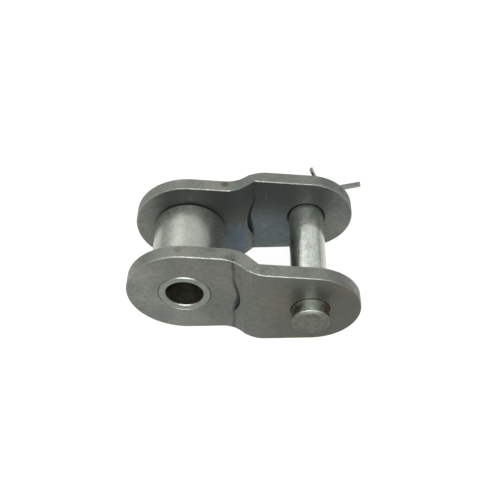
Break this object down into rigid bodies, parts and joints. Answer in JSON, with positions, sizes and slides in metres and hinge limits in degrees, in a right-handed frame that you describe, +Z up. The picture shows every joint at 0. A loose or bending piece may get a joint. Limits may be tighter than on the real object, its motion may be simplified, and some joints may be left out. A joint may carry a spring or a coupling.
{
  "type": "roller chain offset link",
  "caption": "Cranked roller chain link: a narrow end with a bush and roller, and a wide end closed by a slip-fit pin and a split pin.",
  "frame": {"origin": "on the bush's axis, midway between the two plates", "axes": "+X along the pitch line from the bush's axis to the connecting pin's axis, +Y along the connecting pin to the end that holds the split pin, +Z up, across the plates' height"},
  "size_m": [0.0615, 0.0449, 0.0296],
  "materials": {
    "plate_steel": "tumbled, satin, oiled",
    "bush_steel": "turned, satin",
    "roller_steel": "satin, slightly polished",
    "pin_steel": "ground, stained brown in places",
    "split_pin_steel": "drawn wire, dull"
  },
  "bodies": {
    "link": {"front_offset_plate": "plate_steel", "rear_offset_plate": "plate_steel", "bush": "bush_steel"},
    "roller": {"roller": "roller_steel"},
    "pin": {"connecting_pin": "pin_steel", "split_pin": "split_pin_steel"}
  },
  "joints": [
    {"name": "roller_spin", "type": "hinge", "parent": "link", "child": "roller", "pos_m": [0, 0, 0], "axis": [0, 1, 0], "continuous": true},
    {"name": "pin_draw", "type": "slide", "parent": "link", "child": "pin", "axis": [0, 1, 0], "range_m": [0, 0.04]}
  ]
}
